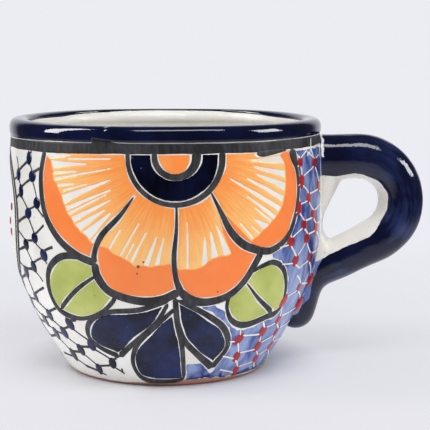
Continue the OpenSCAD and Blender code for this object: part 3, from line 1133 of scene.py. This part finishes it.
lay_enamel("petal_enamel", petal_field, enamel_lift, enamel_thick, petal_enamel(),
           {"along": along, "fan": eye_angle, "border": np.clip(in_border / (0.8 * mm), 0, 1)})
eye_enamel = glaze("orange eye enamel", (0.97, 0.28, 0.06, 1), (0.97, 0.40, 0.12, 1), 0.2,
                   (0.5, 0.15, 0.05, 1))
ring_enamel = glaze("dark ring enamel", (0.0006, 0.0008, 0.004, 1), (0.003, 0.005, 0.025, 1), 0.14,
                    (0.06, 0.08, 0.2, 1), 0.3)
navy_enamel = glaze("navy enamel", (0.001, 0.0015, 0.010, 1), (0.011, 0.020, 0.095, 1), 0.14,
                    (0.06, 0.08, 0.2, 1), 0.15)
leaf_enamel = glaze("green leaf enamel", (0.37, 0.41, 0.092, 1), (0.50, 0.54, 0.155, 1), 0.2,
                    (0.2, 0.2, 0.05, 1))
for name, pots, thick, material, slot in (
        ("eye_enamel", [(3.4, 71)], enamel_thick, eye_enamel, "white_glaze"),
        ("ring_enamel", [(-8, 68)], navy_thick, ring_enamel, "cobalt_glaze"),
        ("navy_enamel", [(-20, 19), (-3, 12), (16, 18)], navy_thick, navy_enamel, "cobalt_glaze"),
        ("leaf_enamel", [(-40, 35), (-30, 28), (43, 33), (33, 25)], enamel_thick, leaf_enamel,
         "white_glaze")):
    lay_enamel(name, flood(pots), enamel_lift, thick, material)

# Wash: watery blue brushed over the wall between the flower and the handle before the net is drawn. It
# is patchy, darker where the brush stopped, and keeps clear of the handle's white root. Its colour also
# darkens towards the top, and into painted shade in the last few millimetres above the foot.
wash_pale = (0.25, 0.32, 0.53, 1)
wash_mid = (0.05, 0.085, 0.29, 1)
wash_deep_and_shade = (0.012, 0.024, 0.165, 1)
wash_lift = glaze_lift + 0.01 * mm
net_top = 73.6 * mm
corner_brush = smooth_line(on_paper([(12.5, 28.3, 3.6), (18, 25.6, 4.4), (24, 21, 6), (29, 14, 12)]), 8)
paper_turn = np.degrees(paper[:, 0] / wall_r)


def wash_field():
    uneven = 0.35 * mm * wander(paper, 6 * mm, 51) + 0.12 * mm * wander(paper, 1.8 * mm, 52)
    side_edge = np.interp(paper[:, 1] / mm, (0, 26, 36, 50, 75), (93, 93, 80, 75, 79))
    room = np.minimum(outline_room - 0.3 * mm, np.radians(side_edge - paper_turn) * wall_r)
    low_edge = np.interp(paper_turn, (20, 24, 36, 50), (2.2, 1.9, 1.5, 1.1)) * mm
    room = np.minimum(room, np.minimum(paper[:, 1] - low_edge, net_top - paper[:, 1]))
    junction = (paper_turn < 40) & (paper[:, 1] > 37 * mm)
    room = np.where(junction, np.minimum(room, np.radians(paper_turn - 39.5) * wall_r), room)
    corner = (paper_turn < 26) & (paper[:, 1] > 8 * mm)
    room = np.where(corner, np.minimum(room, -clear_of(paper, [corner_brush])), room)
    return flood([(60, 60), (60, 25), (20, 5)], room + np.minimum(uneven, 0.1 * mm))


def wash_enamel():
    material, tree, shader = new_material("watery blue wash", 0.18)
    skin = skin_on(tree, 110)
    spot = place(tree, "ShaderNodeTexCoord")["Object"]
    _, _, height = parts_of(tree, spot)
    brushed = place(tree, "ShaderNodeMapping", {"Vector": spot, "Scale": (1, 1, 0.4)})
    pools = noise(tree, brushed[0], 170, 5, Distortion=0.8)
    wet = (pools - 0.38) * 4.2 + (height - 30 * mm) * 6
    base = blend_colour(tree, wet.clipped(), wash_pale, wash_mid)
    # deep blue where the wash pooled and towards the top; the steep darkening below 4.5 mm is painted shade
    # where the wall turns under to the foot
    dark = (pools - 0.54) * 6 + (height - 40 * mm) * 14 + (4.5 * mm - height).most(0) * 700
    base = blend_colour(tree, dark.clipped(), base, wash_deep_and_shade)
    join(tree, base, shader.inputs["Base Color"])
    raise_skin(tree, shader, skin["Height"], 0.1 * mm)
    return material


watery_blue = wash_enamel()
lay_enamel("blue_wash", wash_field(), wash_lift, 0.05 * mm, watery_blue)
points, faces = trim(coat, triangles, wash_field_of_tail)
tail_wash = new_piece("tail_wash", points, (), faces)
mend_faces(tail_wash.data)
tail_wash.data.materials.append(watery_blue)
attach(tail_wash, "root")

# Nets: dots in slanting rows, tied to their neighbours by thin lines. On the flower's left they are navy
# dots on black lines; on its right, lines scratched through the wash to the white, with red dots.
net_flatness = 0.25
side_centre = -90
side_half = 24.8
side_z = 50
side_tall = 23
left_knots = {
    (0, 0): (-56, 71.3), (1, 0): (-53.5, 65.9), (2, 0): (-50.5, 57.9), (0, 1): (-64.7, 65.6),
    (1, 1): (-62, 60.6), (2, 1): (-56.2, 54.2), (3, 1): (-52.2, 46.9), (4, 1): (-47.6, 42),
    (3, 2): (-58.8, 44.1), (4, 2): (-55.5, 37.4), (4, 3): (-63.6, 34.6), (5, 3): (-62.2, 26.4),
    (6, 3): (-55.7, 21.3), (7, 3): (-50, 16.1), (8, 3): (-43.6, 10.8), (9, 3): (-37.1, 4.5),
    (7, 2): (-43.1, 19.9), (8, 2): (-35, 13.5), (9, 2): (-27, 7.6), (5, 4): (-73.3, 23.4),
    (6, 4): (-63.7, 18.4), (7, 4): (-58.4, 14.6), (8, 4): (-52.5, 7.9)}
right_knots = {
    (-1, 1): (54.7, 69.9), (0, 0): (67.6, 68.8), (0, 1): (55.4, 64.1), (1, 0): (72.4, 60.9),
    (1, 1): (60.6, 58.3), (1, 2): (53.2, 55.6), (2, 1): (65, 52.5), (2, 2): (56.8, 50.1),
    (3, 1): (68.4, 47.9), (3, 2): (59.5, 45.5), (2, 3): (48.6, 45.6), (3, 3): (52.8, 39.2),
    (4, 2): (64.9, 38.6), (5, 2): (74.9, 29.6), (5, 3): (61.8, 29.2), (5, 4): (51.9, 26),
    (6, 3): (70.9, 22.1), (6, 4): (53.8, 19.3), (6, 5): (45.3, 16.5), (7, 4): (57.8, 14.5),
    (6, 6): (32.3, 15.4), (7, 5): (47, 11), (8, 4): (60.7, 9.3), (7, 6): (35, 8.9), (8, 5): (51.4, 6),
    (8, 6): (38.8, 3.4)}


def left_knot(i, k):
    turn = -56.6 + 3.08 * i - 6.66 * k + 0.156 * i * i + 0.209 * i * k - 0.694 * k * k
    return left_knots.get((i, k), (turn, 71.5 - 6.42 * i - 5.32 * k + 0.306 * i * k))


def right_knot(i, k):
    turn = 65.3 + 5.09 * i - 8.4 * k + 0.25 * i * i - 0.945 * i * k + 0.352 * k * k
    return right_knots.get((i, k), (turn, 68.1 - 5.95 * i - 3.63 * k - 0.064 * i * i + 0.224 * i * k))


def side_oval(inward, width):
    """One of the lines round the oval panel on the side away from the handle."""
    stops = []
    for angle in np.linspace(-100, 100, 15):
        lean = math.radians(angle)
        stops.append((side_centre + (side_half - inward) * math.cos(lean),
                      side_z + (side_tall - inward) * math.sin(lean), width))
    return smooth_line(on_paper(stops), 6)


panel_lines = [side_oval(0, 1.5), side_oval(2.4, 1.2)]
net_room = np.minimum(clear_of(paper, panel_lines), outline_room)
net_room = np.minimum(net_room, np.minimum(paper[:, 1] - 2.4 * mm, net_top - paper[:, 1]))
in_panel = ((paper_turn - side_centre) / side_half) ** 2 + ((paper[:, 1] / mm - side_z) / side_tall) ** 2 < 1
left_ground = flooded((net_room > 0.1 * mm) & (paper_turn < -20) & ~in_panel, -58, 65)
right_ground = flooded((net_room > 0.05 * mm) & (paper_turn > 9), 60, 60)


def paper_spot(place_on_paper):
    """The index of the paper's nearest point."""
    i = int(np.clip(round((place_on_paper[0] - paper_left) / paper_step), 0, len(columns) - 1))
    j = int(np.clip(round((place_on_paper[1] - paper_low) / paper_step), 0, len(levels) - 1))
    return i * len(levels) + j


def tie(start, end, bow, widths, ground, overshoot):
    """A thin line from one knot to the next, in the runs where it lies on its own ground."""
    runs, run, past = [], [], 0
    step = np.linalg.norm(end - start) / 14
    for share in np.linspace(0, 1, 15):
        spot = start + (end - start) * share + np.array([bow * math.sin(share * math.pi), 0])
        on_the_wall = abs(spot[0]) < -paper_left and 2.6 * mm < spot[1] < 73.8 * mm
        past = 0 if on_the_wall and ground[paper_spot(spot)] else past + step
        if on_the_wall and (past == 0 or run and past < overshoot):
            run.append((*spot, np.interp(share, (0, 0.5, 1), widths) / 2))
        elif run:
            runs.append(run)
            run = []
    runs.append(run)
    return [np.array(run) for run in runs if len(run) > 3]


def draw_net(knot, seen, unseen_turn, ground, seed, overshoot, widths, dot, lean_rate):
    """The lines and the dots of one net. A dot is its place, half width, half height and lean."""
    draw = np.random.default_rng(seed)
    knots = {}
    for k in range(-1, 9):
        for i in range(-3, 12):
            turn, height = knot(i, k)
            knots[i, k] = np.array([across(turn), height * mm])
    lines, dots = [], []
    for (i, k), here in knots.items():
        wide, long = np.array(dot) * draw.uniform(0.85, 1.15, 2) * mm
        bows = draw.uniform(-0.5, 0.5, 2) * mm
        lean = lean_rate * (72 * mm - here[1]) / (70 * mm)
        far_round = abs(here[0]) > across(unseen_turn)
        wide *= 1 + 0.5 * np.clip((abs(here[0]) / wall_r - 1.08) / 0.18, 0, 1)
        wide *= 1 + 0.2 * np.clip((26 * mm - here[1]) / (14 * mm), 0, 1)
        on_ground = abs(here[0]) < -paper_left and 4 * mm < here[1] < 72 * mm and ground[paper_spot(here)]
        if (i, k) in seen or far_round and on_ground:
            dots.append((*here, wide, long, lean))
        for step, leave, meet, bow, thick in (((1, 0), (0.1, -1.3), (0, 1.3), bows[0], widths[0]),
                                              ((0, 1), (-0.6, -0.8), (0.3, 1.2), bows[1], widths[1])):
            there = knots.get((i + step[0], k + step[1]))
            tied = far_round or (i, k) in seen or (i + step[0], k + step[1]) in seen
            if there is not None and tied:
                thin = np.array([1, 0.8, 1]) * thick * draw.uniform(0.85, 1.2)
                start = here + np.array(leave) * mm
                lines += tie(start, there + np.array(meet) * mm, bow, thin, ground, overshoot)
    return lines, dots


def drops_of_enamel():
    """Small raised drops at points on the unrolled wall, as wide, tall and leaning as the points say."""
    takes = {"Geometry": "Geometry", "Thick": "Float", "Lift": "Float", "Material": "Material"}
    tree, given, end = start_shape("drops of enamel", takes)
    ball = place(tree, "GeometryNodeMeshUVSphere", {"Segments": 14, "Rings": 8, "Radius": 1})
    wide, tall, lean = (place(tree, "GeometryNodeInputNamedAttribute", {"Name": name})[0]
                        for name in ("wide", "tall", "lean"))
    drops = place(tree, "GeometryNodeInstanceOnPoints",
                  {"Points": given["Geometry"], "Instance": ball[0],
                   "Rotation": vector(tree, 0, 0, lean), "Scale": vector(tree, wide, tall, given["Thick"])})
    real = place(tree, "GeometryNodeRealizeInstances", {"Geometry": drops[0]})
    return finish_tree(tree, end, wrapped(tree, real[0], 1, given["Lift"]), given["Material"])


drop_tree = drops_of_enamel()


def lay_drops(name, dots, thick, lift, material):
    rows = np.array(dots)
    rows = np.vstack([rows, round_the_back(rows) * np.array([1, 1, 1, 1, -1])])
    piece = new_piece(name, np.column_stack([rows[:, :2], np.zeros(len(rows))]))
    for trait, values in zip(("wide", "tall", "lean"), rows[:, 2:].T):
        mark(piece, trait, values)
    shape(piece, drop_tree, {"Thick": thick, "Lift": lift, "Material": material})
    make_plain(piece)
    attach(piece, "root")


def lay_net(name, lines, flatness, lift, material):
    lay_lines(name, lines + [round_the_back(line) for line in lines], flatness, lift, material)


scratched_white = glaze("scratched white line", tin_white, thin_white, 0.2, (0.4, 0.4, 0.5, 1))
red_enamel = glaze("red drop enamel", (0.27, 0.012, 0.018, 1), (0.42, 0.03, 0.035, 1), 0.16,
                   (0.7, 0.5, 0.45, 1))
navy_lines, navy_dots = draw_net(left_knot, left_knots, 72, left_ground, 61, 0,
                                 (0.68 * mm, 0.95 * mm), (1.95, 2.0), 1.05)
white_lines, red_dots = draw_net(right_knot, right_knots, 95, right_ground, 62, 1.4 * mm,
                                 (0.7 * mm, 0.55 * mm), (1.85, 2.2), -1.1)
lay_net("black_net_lines", navy_lines, net_flatness, line_lift - 0.03 * mm, outline_black)
navy_dots.append((across(-22.9), 5.4 * mm, 0.5 * mm, 0.6 * mm, 0))
lay_drops("navy_net_drops", navy_dots, 0.16 * mm, glaze_lift + 0.06 * mm, navy_enamel)
band_scratch = [on_paper([(64.4, 76.8, 0.5), (63.9, 75, 0.6), (63.8, 73.5, 0.6), (62.9, 72.6, 0.5),
                          (60, 71.6, 0.5)]),
                on_paper([(63.8, 73.8, 0.5), (64.6, 72.6, 0.6), (65.6, 71.2, 0.5)])]
lay_net("white_net_lines", white_lines + band_scratch, net_flatness, line_lift + 0.03 * mm,
        scratched_white)
panel_dots = [(across(turn), height * mm, 1.3 * mm, 1.3 * mm, 0.1) for turn, height in
              ((-74, 54.4), (-77.5, 49.4), (-76.5, 46))]
speck_grey = glaze("kiln speck", (0.07, 0.06, 0.04, 1), (0.2, 0.17, 0.1, 1), 0.3, (0.5, 0.5, 0.45, 1))
specks = [(across(turn), height * mm, size * mm, size * mm, 0) for turn, height, size in
          ((-9.5, 41, 0.5), (-10, 38.8, 0.3), (-7.7, 42.4, 0.3), (18.2, 32.6, 0.25))]
lay_drops("kiln_specks", specks, 0.08 * mm, enamel_lift + enamel_thick, speck_grey)
by_the_tail = [dot for dot in red_dots if dot[0] > across(68) and dot[1] < 34 * mm]
lay_drops("red_tail_drops", by_the_tail, 1.3 * mm, glaze_lift, red_enamel)
lay_drops("red_net_drops", red_dots + panel_dots, 0.18 * mm, glaze_lift + 0.08 * mm, red_enamel)
lay_net("side_panel_lines", [taper(line) for line in panel_lines], line_flatness, line_lift,
        outline_black)

# Stage: a plain pale table, and a camera where the photographer's stood.
camera_place = (0, -433 * mm, 109.3 * mm)
camera_yaw = 2.14
camera_pitch = 7.88
lens_px = 1317.3
frame_px = 430
backdrop = (0.838, 0.838, 0.896, 1)
dark_room = (0.07, 0.07, 0.085, 1)

eye = bpy.data.cameras.new("camera")
eye.sensor_width = 36
eye.lens = lens_px / frame_px * eye.sensor_width
camera = bpy.data.objects.new("camera", eye)
camera.location = camera_place
camera.rotation_euler = (math.radians(90 - camera_pitch), 0, math.radians(-camera_yaw))
bpy.context.scene.collection.objects.link(camera)
bpy.context.scene.camera = camera


def pale_floor():
    material, tree, shader = new_material("pale table", 0.6)
    shader.inputs["Base Color"].default_value = (0.7, 0.7, 0.73, 1)
    spot = place(tree, "ShaderNodeTexCoord")["Object"]
    far = place(tree, "ShaderNodeVectorMath", {0: spot}, operation="LENGTH")["Value"]
    path = place(tree, "ShaderNodeLightPath")
    # the table glows: plainly as seen, a little brighter in reflections, and about twice as bright for the
    # light it bounces onto the cup, which it lights from below like a lamp
    strength = path["Is Diffuse Ray"] * 1.1 + path["Is Glossy Ray"] * 0.25 + 0.95
    glow = place(tree, "ShaderNodeEmission", {"Color": backdrop, "Strength": strength})
    lit = ((far - 0.033) / 0.03).most(0).least(0.7)
    top = place(tree, "ShaderNodeMixShader", {0: lit, 1: shader.outputs[0], 2: glow[0]})
    below = place(tree, "ShaderNodeNewGeometry")["Backfacing"]
    fade = ((far - 0.06) / 0.22).most(below)
    clear = place(tree, "ShaderNodeBsdfTransparent")
    mix = place(tree, "ShaderNodeMixShader", {0: fade.clipped(), 1: top[0], 2: clear[0]})
    join(tree, mix[0], tree.nodes["Material Output"].inputs["Surface"])
    return material


floor_steps = 64
rim_points = [(math.cos(a), math.sin(a), -0.00005) for a in np.linspace(0, 2 * math.pi, floor_steps, False)]
floor = new_piece("table", rim_points, (), [tuple(range(floor_steps))])
floor.data.materials.append(pale_floor())


def sky():
    world = bpy.data.worlds.new("studio")
    bpy.context.scene.world = world
    world.use_nodes = True
    tree = world.node_tree
    tree.nodes.clear()
    path = place(tree, "ShaderNodeLightPath")
    seen = path["Is Camera Ray"].most(path["Is Glossy Ray"])
    seen = seen.most(path["Is Transmission Ray"])
    _, away, rise = parts_of(tree, place(tree, "ShaderNodeTexCoord")["Generated"])
    from_table = rise.work("LESS_THAN", 0) * 0.4
    light = place(tree, "ShaderNodeBackground", {"Color": (0.95, 0.96, 1, 1), "Strength": from_table + 0.37})
    room = (1 - (away - 0.7) / 0.15).clipped() * path["Is Glossy Ray"]
    studio = blend_colour(tree, room, backdrop, dark_room)
    view = place(tree, "ShaderNodeBackground", {"Color": studio, "Strength": 1})
    mix = place(tree, "ShaderNodeMixShader", {0: seen, 1: light[0], 2: view[0]})
    place(tree, "ShaderNodeOutputWorld", {"Surface": mix[0]})


sky()


def soft_light(name, turn, rise, size, power, glint):
    """A soft box a metre from the mug, at a turn from the front and a rise above the table in degrees.
    Its glint, the part of it that gloss reflects, has a size and a power of its own."""
    turn, rise = math.radians(turn), math.radians(rise)
    spot = (math.sin(turn) * math.cos(rise), -math.cos(turn) * math.cos(rise), math.sin(rise))
    aim = np.array((0, 0, 0.04)) - np.array(spot)
    flat = math.hypot(aim[0], aim[1])
    for glossy, (width, height, energy) in enumerate(((*size, power), glint)):
        lamp = bpy.data.lights.new(name, "AREA")
        lamp.shape = "RECTANGLE"
        lamp.size, lamp.size_y = width, height
        lamp.energy = energy
        piece = bpy.data.objects.new(name, lamp)
        piece.location = np.array(spot) * (1 - 0.01 * glossy)
        piece.rotation_euler = (math.atan2(flat, -aim[2]), 0, math.atan2(aim[1], aim[0]) - math.pi / 2)
        piece.visible_glossy = bool(glossy)
        piece.visible_diffuse = not glossy
        bpy.context.scene.collection.objects.link(piece)


soft_light("top light", 14, 62, (0.85, 0.26), 5.8, (0.85, 0.26, 5.8))
soft_light("left light", -88, 33, (0.24, 0.6), 4.2, (0.26, 0.9, 11))
soft_light("right light", 80, 26, (0.2, 0.3), 2.2, (0.36, 0.36, 5.2))
bpy.context.scene.view_settings.view_transform = "Standard"
